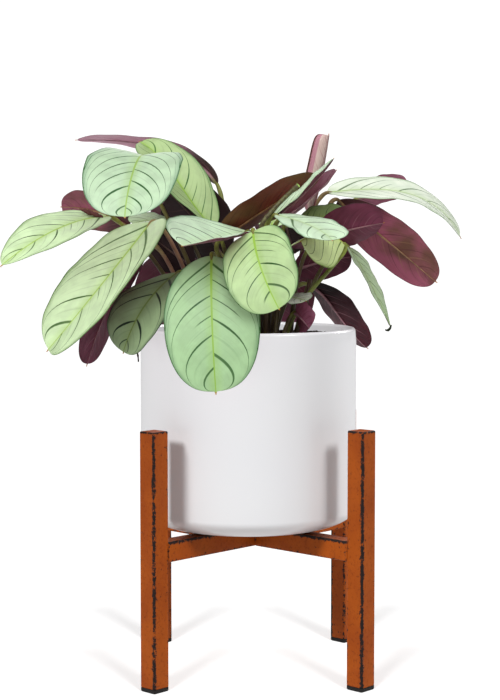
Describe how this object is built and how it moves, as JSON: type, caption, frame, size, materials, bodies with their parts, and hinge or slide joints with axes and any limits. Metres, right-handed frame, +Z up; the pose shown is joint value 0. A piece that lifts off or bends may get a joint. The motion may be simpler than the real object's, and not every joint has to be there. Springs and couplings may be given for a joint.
{
  "type": "potted plant",
  "caption": "Foliage plant with feather-veined pale green leaves and purple undersides, in a white cylinder pot that rests on a legged stand with crossed bars.",
  "frame": {"origin": "centre of the bounding box, on the floor that the caps stand on", "axes": "+Z up; -Y is the front, which the picture shows; the stand has its legs on the diagonals between X and Y"},
  "size_m": [0.3802, 0.2584, 0.4442],
  "materials": {
    "pot": "satin",
    "tube": "satin",
    "cap": "matte",
    "soil": "matte",
    "leaf_green": "satin",
    "leaf_purple": "satin",
    "leaf_young": "satin",
    "stalk": "satin"
  },
  "bodies": {
    "root": {"leg_front_right": "tube", "cap_front_right": "cap", "leg_back_right": "tube", "cap_back_right": "cap", "leg_back_left": "tube", "cap_back_left": "cap", "leg_front_left": "tube", "cap_front_left": "cap", "bar_long": "tube", "bar_half_front": "tube", "bar_half_back": "tube", "pot": "pot", "leaf_front_centre": "leaf_green", "leaf_front_right": "leaf_green", "leaf_centre_pale": "leaf_green", "leaf_right_pale": "leaf_green", "leaf_small_yellow": "leaf_green", "leaf_small_grey": "leaf_green", "leaf_left_low": "leaf_green", "leaf_far_left": "leaf_green", "leaf_left_shaded": "leaf_green", "leaf_left_gap": "leaf_green", "leaf_left_purple": "leaf_purple", "leaf_left_maroon": "leaf_purple", "leaf_centre_dark": "leaf_purple", "leaf_top_left": "leaf_green", "leaf_top": "leaf_green", "leaf_back_top": "leaf_purple", "leaf_top_shaded": "leaf_purple", "leaf_upright_brown": "leaf_purple", "leaf_narrow_green": "leaf_green", "leaf_narrow_purple": "leaf_purple", "leaf_young_rolled": "leaf_young", "leaf_far_right": "leaf_green", "leaf_right_purple": "leaf_purple", "leaf_right_folded": "leaf_purple", "leaf_right_green": "leaf_green", "leaf_right_hanging": "leaf_green", "leaf_right_maroon": "leaf_purple", "leaf_inner_maroon": "leaf_purple", "leaf_low_purple": "leaf_purple", "leaf_over_rim": "leaf_purple", "leaf_back_right_maroon": "leaf_purple", "leaf_back_centre": "leaf_green", "leaf_back_left": "leaf_green", "leaf_back_upper_left": "leaf_green", "leaf_back_upper_right": "leaf_green", "leaf_back_low_left": "leaf_green", "leaf_back_low_right": "leaf_green", "leaf_back_right": "leaf_green", "stalk_cut": "stalk", "soil": "soil"}
  },
  "joints": []
}
